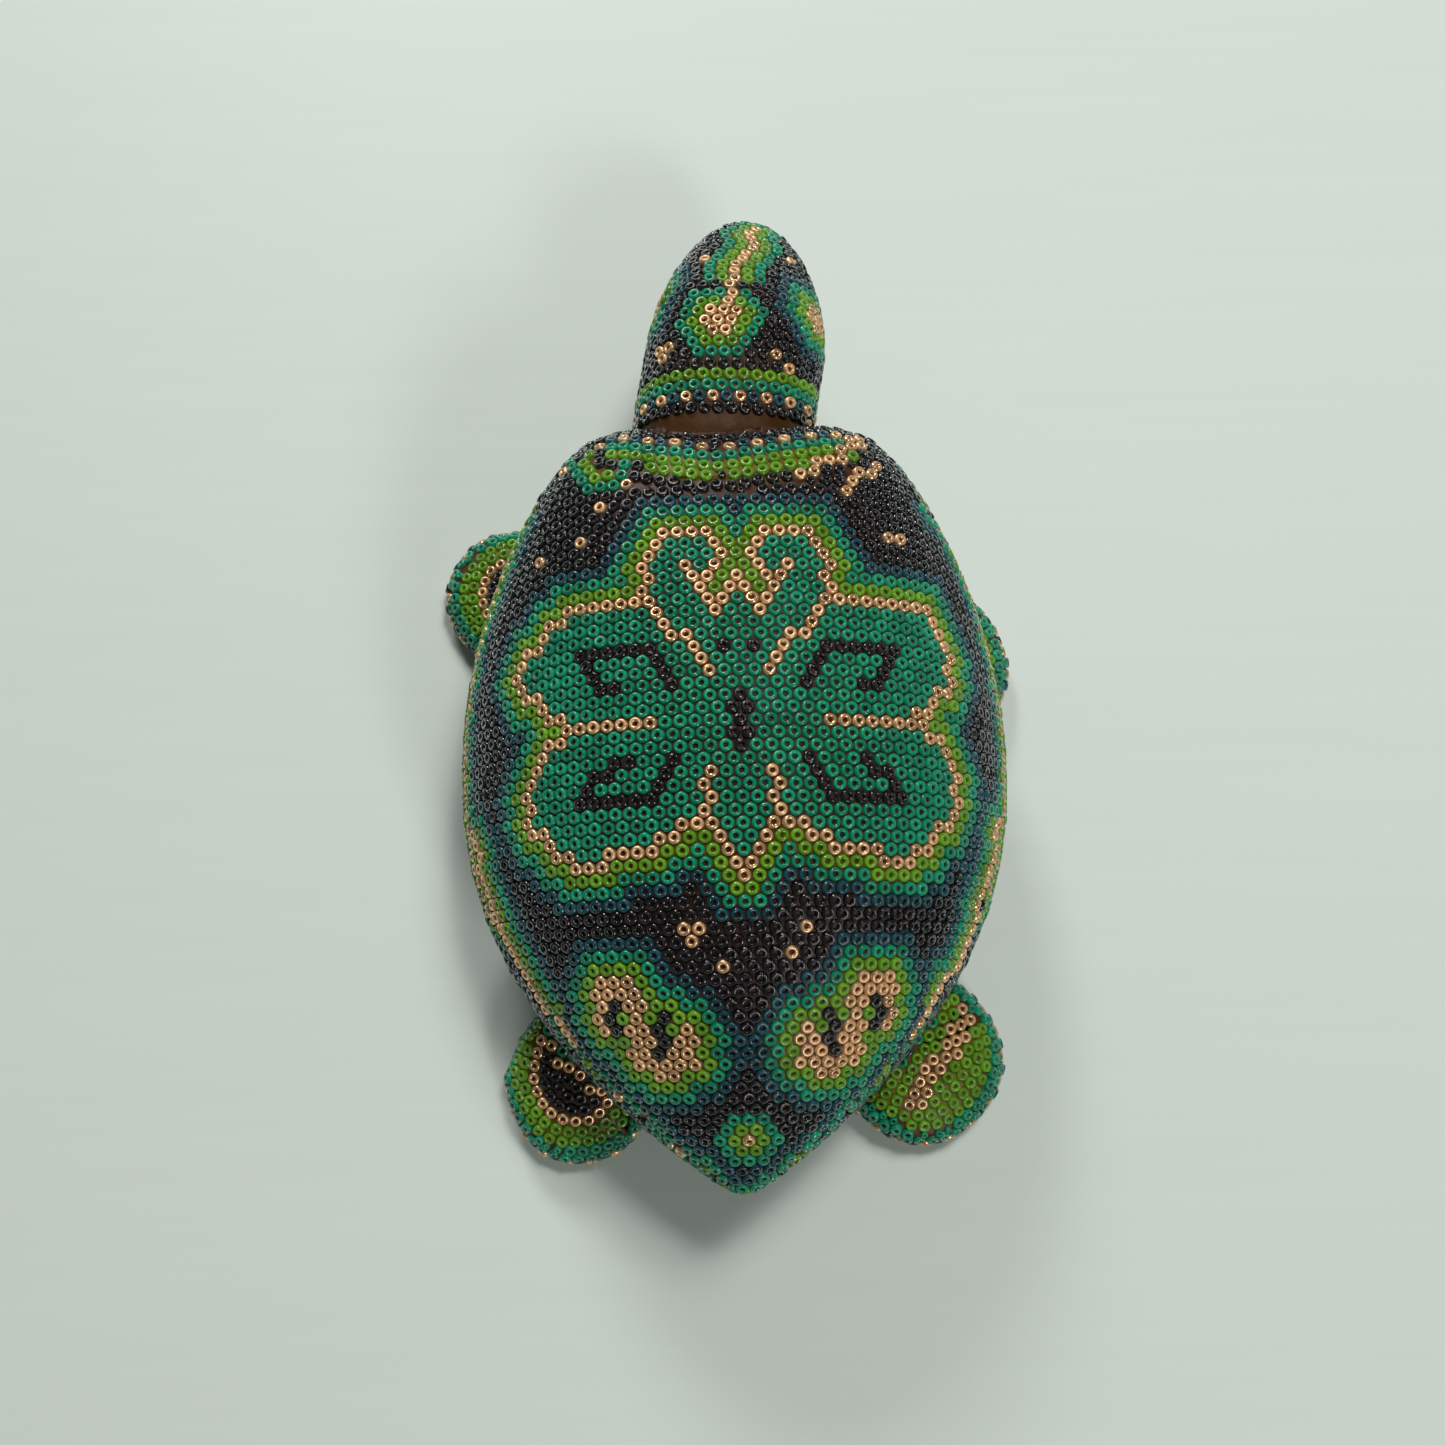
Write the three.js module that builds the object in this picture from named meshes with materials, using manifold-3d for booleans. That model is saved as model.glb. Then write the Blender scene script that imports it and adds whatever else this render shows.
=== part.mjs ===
// A small bead-covered wooden turtle, lying flat on its belly.
// Frame: millimetres, +Z up, +Y towards the head, origin in the resting plane under the top of the shell.
// Every form is a smooth rounded solid. The wood core, the wax coat and the bead coat of a form are
// nested copies of it, each set in from the last by the depths below.
import * as THREE from "three";
import { mergeVertices } from "three/addons/utils/BufferGeometryUtils.js";
import Module from "manifold-3d";

const wasm = await Module();
wasm.setup();

// Shell and belly, measured over the beads.
const SHELL_HALF_WIDTH = 45;
const SHELL_FRONT_OVAL = 58; // the front outline is an oval of this length, cut off square at the neck
const NECK_FACE = 51.6;
const TAIL_TIP = 67.5;
const TAIL_FULLNESS = 2.3; // exponent of the rear outline: higher is fuller before the point
const TAIL_ROUNDNESS = 0.12; // 0 would bring the rear outline to a sharp point
const SHELL_TOP = 52;
const FRONT_DROP = 9; // how far the spine falls from the top to the neck end
const TAIL_DROP = 24.5;
const TAIL_DROP_CURVE = 2.3; // exponent of that fall: higher keeps the spine level for longer
const RIM_HEIGHT = 18; // widest level of the middle section
const FRONT_RIM_RISE = 9;
const TAIL_RIM_RISE = 7.5;
const KEEL_DEPTH = 7; // the under curve would reach this far below the belly's flat
const KEEL_RISE = 19; // how far the under curve climbs towards both ends
const KEEL_RISE_CURVE = 4; // exponent of that climb
const UNDERCUT = 1.3; // exponent of the under curve: 2 is a full ellipse, 1 a straight slope
const END_ROUNDING = 24; // exponent of the neck end's edge: higher is sharper
const END_ROUNDING_ROOT = 1 / 3; // the root that closes this edge: smaller is more abrupt
const TAIL_KEEL_ROUNDING = 8; // the same exponent for the under curve at the tail
const SHOULDER_REACH = 4.5; // how far the shoulders stand forward of the neck end's middle
const SHOULDER_ONSET = 6; // exponent along the shell: higher keeps the shoulders nearer to the neck end
const SHOULDER_BLEND = 3; // the shoulders fade in over the first third of the neck end's half width
const SHOULDER_SQUARENESS = 1.6; // added to the section's exponent of 2 at the neck end
const SQUARENESS_ONSET = 3; // exponent of that change along the shell

// Head, measured over the beads.
const HEAD_HALF_WIDTH = 15.2;
const HEAD_BACK = 40; // the nape runs on into the body, which cuts it
const HEAD_MIDDLE = 70;
const HEAD_TIP = 96;
const HEAD_TOP = 41;
const SNOUT_TOP_DROP = 9;
const HEAD_WIDEST_HEIGHT = 28;
const HEAD_BOTTOM = 13;
const SNOUT_BOTTOM_RISE = 7;
const SNOUT_MIDDLE_DROP = 3; // how far the head's widest level falls towards the snout
const SNOUT_CURVE = 1.5; // exponent of the snout's fall and rise
const SNOUT_TAPER = 1.55; // exponent of the outline towards the snout
const NAPE_BLUNTNESS = 8; // exponent of the outline towards the neck
const HEAD_SHIFT = -3.3; // the neck sits a little to the left of the middle line
const HEAD_YAW = 10; // degrees, the head looks slightly to its right
const HEAD_ROLL = 9;
const HEAD_SQUARENESS = 2.5; // exponent of the head's section: 2 is an ellipse

// Flippers: centre, half length along the heading, half width, heading in degrees from +X, and
// the lean [x, y] that carries the root end under the shell and into the body.
const FLIPPERS = [
  { name: "front_left", x: -33, y: 31, halfLength: 19.6, halfWidth: 13.6, heading: 150, lean: [0, 0] },
  { name: "front_right", x: 31.5, y: 18.5, halfLength: 18.8, halfWidth: 15.6, heading: 24, lean: [0, 0] },
  { name: "rear_left", x: -27.7, y: -48.5, halfLength: 16.4, halfWidth: 12.5, heading: 279, lean: [15, 5] },
  { name: "rear_right", x: 29.2, y: -47.2, halfLength: 16, halfWidth: 14.2, heading: 313, lean: [-6, 6] },
];
const FLIPPER_ROOT_TOP = 13.5;
const FLIPPER_TIP_TOP = 8;
const FLIPPER_EDGE = 2.3; // exponent of a flipper's outline: 2 is an ellipse
const FLIPPER_EDGE_LEVEL = 0.36; // widest level of a flipper, as a share of its height there
const FLIPPER_TOP_FLATNESS = 0.62;
const FLIPPER_UNDERSIDE = 2.2; // depth of the under curve in edge heights, before the flat cuts it
const LEAN_CURVE = 1.5; // exponent of the lean: higher keeps it nearer to the root end

// Layers, as depths below the outside of the beads.
const FIT_GAP = 0.3;
const BEAD_DEPTH = 1.2;
const WAX_DEPTH = 0.9;
const WAX_START = BEAD_DEPTH + FIT_GAP;
const CORE_START = WAX_START + WAX_DEPTH + FIT_GAP;

// Tenons that hold the head and the flippers in the body.
const TENON_RADIUS = 2.4;
const HEAD_TENON_RADIUS = 6;
const TENON_LENGTH = 22;
const HEAD_TENON_LENGTH = 20;
const TENON_START = -0.15; // share of a flipper's half length, counted from its centre towards its tip
const TENON_SIDES = 12;

// Where the shell's coats meet the belly's, and where the bead fields of the shell meet.
const SEAM_HEIGHT = 13;
const COLLAR_START = 40; // the collar of beads round the neck end starts here
const TAIL_FIELD_START = -24; // the tail field runs from here to the tail
const FIELD_BORDER_HEIGHT = 27; // under this height the beads belong to the rim band

const BODY_GRID = [36, 24];
const HEAD_GRID = [20, 14];
const FLIPPER_GRID = [20, 8];
const FAR = 400; // larger than the turtle, for cutting blocks

const degrees = THREE.MathUtils.degToRad;

function fade(distance, power, root) {
  return Math.pow(Math.max(0, 1 - Math.pow(Math.abs(distance), power)), root);
}

function signedPower(value, power) {
  return Math.sign(value) * Math.pow(Math.abs(value), power);
}

// Point of the body over direction d of a unit sphere whose poles lie on Y.
function bodyPoint(d) {
  const ring = Math.hypot(d.x, d.z) || 1;
  const side = d.x / ring;
  const up = d.z / ring;
  const front = d.y > 0;
  const y = d.y * (front ? NECK_FACE : TAIL_TIP);
  const end = Math.abs(d.y);
  const blend = Math.min(1, ring * SHOULDER_BLEND);
  const shoulder = front ? SHOULDER_REACH * end ** SHOULDER_ONSET * side ** 2 * blend : 0;
  const rounding = fade(end, END_ROUNDING, END_ROUNDING_ROOT);
  const taper = fade(end, TAIL_FULLNESS, 1);
  const outline = front
    ? Math.sqrt(1 - (y / SHELL_FRONT_OVAL) ** 2) * rounding
    : Math.sqrt((taper * (taper + TAIL_ROUNDNESS)) / (1 + TAIL_ROUNDNESS));
  const halfWidth = SHELL_HALF_WIDTH * outline;
  const rim = RIM_HEIGHT + (front ? FRONT_RIM_RISE : TAIL_RIM_RISE) * end ** 2;
  const top = SHELL_TOP - (front ? FRONT_DROP * end ** 2 : TAIL_DROP * end ** TAIL_DROP_CURVE);
  const keel = -KEEL_DEPTH + KEEL_RISE * end ** KEEL_RISE_CURVE;
  if (up >= 0) {
    const rise = (top - rim) * (front ? rounding : 1);
    const square = 2 / (2 + (front ? SHOULDER_SQUARENESS * end ** SQUARENESS_ONSET : 0));
    const x = halfWidth * signedPower(side, square);
    return new THREE.Vector3(x, y + shoulder, rim + rise * up ** square);
  }
  const fall = (rim - keel) * (front ? rounding : fade(end, TAIL_KEEL_ROUNDING, 0.5));
  const power = 2 / UNDERCUT;
  const x = halfWidth * signedPower(side, power);
  return new THREE.Vector3(x, y + shoulder, rim - fall * Math.abs(up) ** power);
}

// Point of the head before it is turned, over the same kind of sphere.
function headPoint(d) {
  const ring = Math.hypot(d.x, d.z) || 1;
  const front = d.y > 0;
  const y = HEAD_MIDDLE + d.y * (front ? HEAD_TIP - HEAD_MIDDLE : HEAD_MIDDLE - HEAD_BACK);
  const outline = fade(d.y, front ? SNOUT_TAPER : NAPE_BLUNTNESS, 0.5);
  const ahead = Math.max(0, d.y);
  const square = 2 / HEAD_SQUARENESS;
  const top = HEAD_TOP - SNOUT_TOP_DROP * ahead ** SNOUT_CURVE;
  const bottom = HEAD_BOTTOM + SNOUT_BOTTOM_RISE * ahead ** SNOUT_CURVE;
  const middle = HEAD_WIDEST_HEIGHT - SNOUT_MIDDLE_DROP * ahead;
  const height = d.z > 0 ? top - middle : middle - bottom;
  return new THREE.Vector3(
    HEAD_HALF_WIDTH * outline * signedPower(d.x / ring, square),
    y,
    middle + height * outline * signedPower(d.z / ring, square),
  );
}

function turnHead(point) {
  const neck = new THREE.Vector3(0, HEAD_BACK, HEAD_WIDEST_HEIGHT);
  const turn = new THREE.Euler(0, degrees(HEAD_ROLL), -degrees(HEAD_YAW), "ZYX");
  point.sub(neck).applyEuler(turn).add(neck);
  point.x += HEAD_SHIFT;
  return point;
}

// Middle of a flipper in plan, where outward runs from -1 at its root end to 1 at its tip.
function centreLine(flipper, outward) {
  const heading = degrees(flipper.heading);
  const along = outward * flipper.halfLength;
  const root = Math.max(0, -outward) ** LEAN_CURVE;
  return [
    flipper.x + along * Math.cos(heading) + flipper.lean[0] * root,
    flipper.y + along * Math.sin(heading) + flipper.lean[1] * root,
  ];
}

// Point of a flipper over a unit sphere. The sphere's Y axis is turned up, so its rings are outlines.
function flipperPoint(flipper, d) {
  const ring = Math.hypot(d.x, d.z) || 1;
  const round = 2 / FLIPPER_EDGE;
  const outward = signedPower(d.x / ring, round) * ring;
  const across = -signedPower(d.z / ring, round) * ring * flipper.halfWidth;
  const top = THREE.MathUtils.lerp(FLIPPER_ROOT_TOP, FLIPPER_TIP_TOP, (1 + outward) / 2);
  const middle = top * FLIPPER_EDGE_LEVEL;
  const height = d.y > 0 ? top - middle : middle * FLIPPER_UNDERSIDE;
  const heading = degrees(flipper.heading);
  const [x, y] = centreLine(flipper, outward);
  return new THREE.Vector3(
    x - across * Math.sin(heading),
    y + across * Math.cos(heading),
    middle + height * signedPower(d.y, FLIPPER_TOP_FLATNESS),
  );
}

function solidOf(geometry) {
  const bare = geometry.clone();
  bare.deleteAttribute("normal");
  bare.deleteAttribute("uv");
  const merged = mergeVertices(bare, 1e-4);
  return new wasm.Manifold(
    new wasm.Mesh({
      numProp: 3,
      vertProperties: new Float32Array(merged.attributes.position.array),
      triVerts: new Uint32Array(merged.index.array),
    }),
  );
}

function geometryOf(solid) {
  const mesh = solid.getMesh();
  const positions = new Float32Array(mesh.numVert * 3);
  for (let i = 0; i < mesh.numVert; i++) {
    const start = i * mesh.numProp;
    positions.set(mesh.vertProperties.subarray(start, start + 3), i * 3);
  }
  const geometry = new THREE.BufferGeometry();
  geometry.setAttribute("position", new THREE.BufferAttribute(positions, 3));
  geometry.setIndex(new THREE.BufferAttribute(new Uint32Array(mesh.triVerts), 1));
  geometry.computeVertexNormals();
  return geometry;
}

// A block between two corners, large enough on its open sides to hold the whole turtle.
function block(low, high) {
  const size = [0, 1, 2].map((i) => high[i] - low[i]);
  const box = new THREE.BoxGeometry(...size);
  box.translate((low[0] + high[0]) / 2, (low[1] + high[1]) / 2, (low[2] + high[2]) / 2);
  return solidOf(box);
}

const above = (height) => block([-FAR, -FAR, height], [FAR, FAR, FAR]);
const below = (height) => block([-FAR, -FAR, -FAR], [FAR, FAR, height]);
const between = (from, to) => block([-FAR, from, -FAR], [FAR, to, FAR]);

// A form set in from its outside by a depth, flat where it rests.
function form(pointAt, grid, inset) {
  const sphere = new THREE.SphereGeometry(1, grid[0], grid[1]);
  sphere.deleteAttribute("normal");
  sphere.deleteAttribute("uv");
  const skin = mergeVertices(sphere, 1e-4);
  const position = skin.attributes.position;
  const d = new THREE.Vector3();
  for (let i = 0; i < position.count; i++) {
    d.fromBufferAttribute(position, i).normalize();
    const p = pointAt(d);
    position.setXYZ(i, p.x, p.y, p.z);
  }
  skin.computeVertexNormals();
  const normal = skin.attributes.normal;
  for (let i = 0; i < position.count; i++) {
    position.setXYZ(
      i,
      position.getX(i) - inset * normal.getX(i),
      position.getY(i) - inset * normal.getY(i),
      position.getZ(i) - inset * normal.getZ(i),
    );
  }
  return solidOf(skin).intersect(above(inset));
}

const body = (inset) => form(bodyPoint, BODY_GRID, inset);
const head = (inset) => form((d) => turnHead(headPoint(d)), HEAD_GRID, inset);
const flipper = (piece, inset) => form((d) => flipperPoint(piece, d), FLIPPER_GRID, inset);

function rod(start, direction, length, radius) {
  const cylinder = new THREE.CylinderGeometry(radius, radius, length, TENON_SIDES);
  cylinder.translate(0, length / 2, 0);
  const turn = new THREE.Quaternion().setFromUnitVectors(new THREE.Vector3(0, 1, 0), direction);
  cylinder.applyQuaternion(turn);
  cylinder.translate(start.x, start.y, start.z);
  return solidOf(cylinder);
}

// A tenon starts inside its own limb and runs in a straight line into the body core.
const HEAD_TENON = {
  start: new THREE.Vector3(HEAD_SHIFT / 2, NECK_FACE + HEAD_TENON_LENGTH / 3, HEAD_WIDEST_HEIGHT),
  direction: new THREE.Vector3(0, -1, 0),
  length: HEAD_TENON_LENGTH,
  radius: HEAD_TENON_RADIUS,
};

function flipperTenon(piece) {
  const level = CORE_START + TENON_RADIUS + FIT_GAP / 2;
  const start = new THREE.Vector3(...centreLine(piece, TENON_START), level);
  const root = new THREE.Vector3(...centreLine(piece, -1), level);
  return { start, direction: root.sub(start).normalize(), length: TENON_LENGTH, radius: TENON_RADIUS };
}

const limbs = [
  { name: "head", solid: head, tenon: HEAD_TENON },
  ...FLIPPERS.map((piece) => ({
    name: piece.name + "_flipper",
    solid: (inset) => flipper(piece, inset),
    tenon: flipperTenon(piece),
  })),
];

const peg = (tenon) => rod(tenon.start, tenon.direction, tenon.length, tenon.radius);
const socket = (tenon) => rod(tenon.start, tenon.direction, tenon.length + FIT_GAP, tenon.radius + FIT_GAP);

// A coat of the body between two depths, open where the limbs join.
function bodyCoat(from, to) {
  const whole = body(from).subtract(body(to));
  const open = (coat, limb) => coat.subtract(limb.solid(-FIT_GAP)).subtract(socket(limb.tenon));
  return limbs.reduce(open, whole);
}

function bodyCore() {
  return limbs.reduce((core, limb) => core.subtract(socket(limb.tenon)), body(CORE_START));
}

// Limbs stop a fit gap short of the body core, so a coat of a limb is open at its root.
function limbCoat(limb, from, to) {
  const whole = limb.solid(from).subtract(limb.solid(to));
  return whole.subtract(body(CORE_START - FIT_GAP)).subtract(socket(limb.tenon));
}

function limbCore(limb) {
  const wood = limb.solid(CORE_START).subtract(body(CORE_START - FIT_GAP));
  return wood.add(peg(limb.tenon));
}

const WOOD = { color: 0x8a5a34, roughness: 0.8, metalness: 0 };
const WAX = { color: 0x5b3312, roughness: 0.5, metalness: 0 };
const EMERALD = { color: 0x0d6b4f, roughness: 0.2, metalness: 0 };
const PETROL = { color: 0x0e343c, roughness: 0.2, metalness: 0 };
const BLACK = { color: 0x0a0a0c, roughness: 0.15, metalness: 0 };
const LIME = { color: 0x5f9420, roughness: 0.15, metalness: 0 };
const GOLD = { color: 0xd9a06c, roughness: 0.25, metalness: 1 };

const turtle = new THREE.Group();

function addPiece(name, solid, finish) {
  const mesh = new THREE.Mesh(geometryOf(solid), new THREE.MeshStandardMaterial(finish));
  mesh.name = name;
  turtle.add(mesh);
}

function addBody() {
  const halfGap = FIT_GAP / 2;
  const wax = bodyCoat(WAX_START, WAX_START + WAX_DEPTH);
  const beads = bodyCoat(0, BEAD_DEPTH);
  const upper = above(SEAM_HEIGHT + halfGap);
  const shell = beads.intersect(upper);
  const dome = shell.intersect(above(FIELD_BORDER_HEIGHT + halfGap));
  const band = shell.intersect(below(FIELD_BORDER_HEIGHT - halfGap));
  addPiece("body_core", bodyCore(), WOOD);
  addPiece("shell_wax", wax.intersect(upper), WAX);
  addPiece("belly_wax", wax.intersect(below(SEAM_HEIGHT - halfGap)), WAX);
  addPiece("shell_collar_beads", dome.intersect(between(COLLAR_START + halfGap, FAR)), GOLD);
  addPiece(
    "shell_flower_beads",
    dome.intersect(between(TAIL_FIELD_START + halfGap, COLLAR_START - halfGap)),
    EMERALD,
  );
  addPiece("shell_tail_beads", dome.intersect(between(-FAR, TAIL_FIELD_START - halfGap)), BLACK);
  addPiece("shell_rim_beads", band, PETROL);
  addPiece("belly_beads", beads.intersect(below(SEAM_HEIGHT - halfGap)), EMERALD);
}

function addLimb(limb) {
  addPiece(limb.name + "_core", limbCore(limb), WOOD);
  addPiece(limb.name + "_wax", limbCoat(limb, WAX_START, WAX_START + WAX_DEPTH), WAX);
  addPiece(limb.name + "_beads", limbCoat(limb, 0, BEAD_DEPTH), LIME);
}

addBody();
limbs.forEach(addLimb);

export default turtle;
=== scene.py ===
import heapq
import math
import random
from contextlib import contextmanager

import bpy
import numpy as np
from bpy.props import FloatProperty, FloatVectorProperty, PointerProperty
from mathutils import Matrix, Vector
from mathutils.bvhtree import BVHTree
from mathutils.kdtree import KDTree


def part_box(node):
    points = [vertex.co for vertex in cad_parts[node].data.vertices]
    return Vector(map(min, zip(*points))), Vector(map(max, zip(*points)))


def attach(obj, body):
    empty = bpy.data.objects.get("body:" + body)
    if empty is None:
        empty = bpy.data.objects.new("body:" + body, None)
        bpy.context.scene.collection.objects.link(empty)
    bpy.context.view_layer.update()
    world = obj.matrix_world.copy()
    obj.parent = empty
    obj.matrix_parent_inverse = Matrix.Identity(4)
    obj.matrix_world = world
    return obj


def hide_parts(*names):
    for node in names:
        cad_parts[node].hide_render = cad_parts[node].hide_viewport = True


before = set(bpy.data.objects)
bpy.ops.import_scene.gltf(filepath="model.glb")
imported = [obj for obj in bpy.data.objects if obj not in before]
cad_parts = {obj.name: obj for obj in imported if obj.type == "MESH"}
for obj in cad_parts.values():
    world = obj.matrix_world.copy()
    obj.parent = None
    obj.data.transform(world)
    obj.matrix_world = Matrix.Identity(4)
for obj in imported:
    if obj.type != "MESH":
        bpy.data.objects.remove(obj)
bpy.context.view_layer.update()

bl_info = {
    "name": "Beaded turtle",
    "version": (1, 0, 0),
    "blender": (4, 5, 0),
    "location": "3D View > Sidebar > Turtle",
    "description": "Covers a carved turtle with wax and pressed glass beads",
    "category": "Object",
}

MM = 0.001
FLIPPERS = ("front_left", "front_right", "rear_left", "rear_right")
SHELL_NODES = ("shell_collar_beads", "shell_flower_beads", "shell_tail_beads", "shell_rim_beads")
BODY_NODES = SHELL_NODES + ("belly_beads",)

# Places and distances on the turtle, in millimetres.
AXIS = 0.7  # the shell's pattern is centred this far right of the middle
FAR = 200  # farther than any point of the turtle
DROP_HEIGHT = 120  # a level above the turtle
HAIR = 0.01  # a start just off a face
LINE_STEP = 1.0  # between the points of the lines that rows follow
FIRST_ROW = 0.6  # how far forward the dome's first row lies
COLLAR_START = 41.0  # the search for the neck end's edge starts here
NECK_SLOT = 53.9  # the head's beads start here and leave a slot of bare wax behind them
HEAD_START = Vector((-2.4, NECK_SLOT, 27))  # inside the neck
FLIPPER_EDGE = 3.4  # the level of the first row round a flipper
OFF_OTHERS = 1.0  # a bead's place keeps this far from the other forms

# Slopes, as the upward part of the skin's direction.
STEEP = 0.42  # where the skin is steeper than this, rows run round the rim instead of across
COLLAR_STEEP = 0.2  # the collar's rows end where the skin is steeper than this
UNDERSIDE = -0.93  # where it faces down more than this, the belly's rows begin

# Shares of a bead's width, of the pitch or of the row pitch.
CLOSEST = 0.82  # bead widths that two beads in the rows keep at least
FILL_CLOSEST = 0.74  # the same for beads pressed into gaps
FILL_REACH, FILL_SPREAD = 0.82, 0.26  # pitches from a bead to the gaps tried beside it
ROW_CLOSEST = 0.86  # row pitches that a line of the next row keeps from the last one
TOUCH = 1.32  # pitches within which two beads are neighbours

# How the beads differ at random.
TILT = 0.07  # lean of a bead's hole, in radians
WIDTH, WIDTH_SPREAD = 0.985, 0.05  # share of the pitch that a bead fills
HEIGHT_SPREAD = 0.12
SINK = 0.05  # how much deeper a bead lies, in millimetres

# The wax coats, in millimetres.
WAX_WALL = 0.8
WAX_MERGE, WAX_SLIVER = 0.36, 0.1  # points closer than this become one, and thinner faces go
SEAM_REACH = 0.2  # a point this near a seam's level belongs to its edge
# The wax is honey under lime beads and dark brown elsewhere; the dark brown is partly painted shade in the
# bead holes and the slot.
SLOT_HONEY = 0.12  # how much honey colour the wax has in the slot at the neck

# The stage: lamps as name, place and width in metres and power in watts, then the camera.
LAMPS = [("overhead", (0.3, 0.5, 1.1), 0.35, 7.4), ("spark", (0.25, 0.42, 1.1), 0.12, 1.6),
         ("window", (-0.35, 1.25, 0.8), 0.3, 9.5), ("fill", (0.6, -1.0, 0.9), 0.3, 5.4)]
ROOM_COLOUR, ROOM_LIGHT = (0.86, 0.93, 0.9, 1), 0.1
LENS, SENSOR = 34.88, 36
CAMERA_TILT, CAMERA_TURN = 12, -1.27  # degrees
CAMERA_DISTANCE, CAMERA_SIDE, CAMERA_LEVEL = 200, -1.9, 52  # millimetres; it aims at the shell's top

FILL_TRIES = 14
SETTLING_ROUNDS = 4
HOLLOW = 5  # neighbours in a group that make a bead part of its outline too
UNDER = 20  # the rows under a flipper are numbered from here
workshop = {}


# ---- the skin that beads lie on


class Skin:
    """The outside of some bead coats, in millimetres, for finding places on it."""

    def __init__(self, nodes, under):
        points, faces, owners = [], [], []
        for name in list(nodes) + under:
            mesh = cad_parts[name].data
            base = len(points)
            points += [v.co / MM for v in mesh.vertices]
            faces += [tuple(base + i for i in p.vertices) for p in mesh.polygons]
            owners += [name] * len(mesh.polygons)
        whole = BVHTree.FromPolygons(points, faces)
        key, merged, where = {}, [], []
        for p in points:
            k = (round(p.x, 3), round(p.y, 3), round(p.z, 3))
            if k not in key:
                key[k] = len(merged)
                merged.append(Vector(p))
            where.append(key[k])
        self.faces, self.owners = [], []
        self.points = merged
        for face, owner in zip(faces, owners):
            if owner in under:
                continue
            a, b, c = (points[i] for i in face)
            normal = (b - a).cross(c - a)
            corners = tuple(where[i] for i in face)
            if normal.length < 1e-6 or len(set(corners)) < 3:
                continue
            normal.normalize()
            if whole.ray_cast((a + b + c) / 3 + normal * HAIR, normal, FAR)[0] is None:
                self.faces.append(corners)
                self.owners.append(owner)
        self.normals = [Vector() for _ in merged]
        for corners in self.faces:
            a, b, c = (merged[i] for i in corners)
            across = (b - a).cross(c - a)
            for i in corners:
                self.normals[i] += across
        self.tree = BVHTree.FromPolygons(merged, self.faces)

    def blend(self, place, index):
        """The smooth outward direction at a place on one face."""
        i, j, k = self.faces[index]
        a, b, c = self.points[i], self.points[j], self.points[k]
        whole = (b - a).cross(c - a)
        size = whole.length_squared
        v = (place - a).cross(c - a).dot(whole) / size
        w = (b - a).cross(place - a).dot(whole) / size
        u = 1 - v - w
        normal = (max(u, 0) * self.normals[i].normalized() + max(v, 0) * self.normals[j].normalized()
                  + max(w, 0) * self.normals[k].normalized())
        return normal.normalized() if normal.length > 1e-6 else whole.normalized()

    def nearest(self, point):
        place, _, index, distance = self.tree.find_nearest(point)
        return place, self.blend(place, index), distance

    def owner(self, point):
        return self.owners[self.tree.find_nearest(point)[2]]

    def cast(self, start, direction):
        place, _, index, _ = self.tree.ray_cast(start, direction, FAR)
        return None if place is None else (place, self.blend(place, index))

    def drop(self, x, y):
        """The place straight below a point above the turtle."""
        return self.cast(Vector((x, y, DROP_HEIGHT)), Vector((0, 0, -1)))

    def covers(self, point):
        """How far a point is outside the skin; inside it is negative."""
        place, normal, distance = self.nearest(point)
        return distance if (point - place).dot(normal) >= 0 else -distance


class Crowd:
    """The beads laid so far, in a grid of cells, to keep new ones clear of them."""

    def __init__(self, cell=2.5):
        self.cell, self.cells = cell, {}

    def key(self, p):
        return (int(p.x // self.cell), int(p.y // self.cell), int(p.z // self.cell))

    def add(self, p):
        self.cells.setdefault(self.key(p), []).append(p)

    def gap(self, p):
        """The distance to the closest bead, up to one cell away."""
        i, j, k = self.key(p)
        best = self.cell
        for a in (i - 1, i, i + 1):
            for b in (j - 1, j, j + 1):
                for c in (k - 1, k, k + 1):
                    for q in self.cells.get((a, b, c), ()):
                        best = min(best, (p - q).length)
        return best


def tree_of(points):
    tree = KDTree(len(points))
    for i, point in enumerate(points):
        tree.insert(point, i)
    tree.balance()
    return tree


def compass(count):
    """Level directions all round."""
    for i in range(count):
        angle = math.tau * i / count
        yield Vector((math.cos(angle), math.sin(angle), 0))


class Site:
    """One bead's place."""

    __slots__ = ("place", "normal", "part", "row", "turn", "size", "colour")

    def __init__(self, place, normal, part, row, turn):
        self.place, self.normal, self.part, self.row, self.turn = place, normal, part, row, turn
        self.size, self.colour = 1.0, "black"

    def paint(self, colour):
        """Colours the bead; in a row of pairs, gold and petrol take turns."""
        self.colour = ("gold" if int(self.turn) % 2 else "petrol") if colour == "pairs" else colour


def walk(points, pitch, closed, start=0.0):
    """Evenly spaced points along a line of points, with the count that fits best if it is closed."""
    line = points + points[:1] if closed else points
    steps = [(b - a).length for a, b in zip(line, line[1:])]
    length = sum(steps)
    if length < pitch * 0.6:
        return []
    if closed:
        pitch = length / max(3, round(length / pitch))
    out, goal, done = [], start * pitch, 0.0
    for a, b, step in zip(line, line[1:], steps):
        while goal < done + step and step > 1e-9:
            out.append(a.lerp(b, (goal - done) / step))
            goal += pitch
        done += step
    if closed and len(out) > 2 and (out[-1] - out[0]).length < pitch * 0.5:
        out.pop()
    return out


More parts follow.
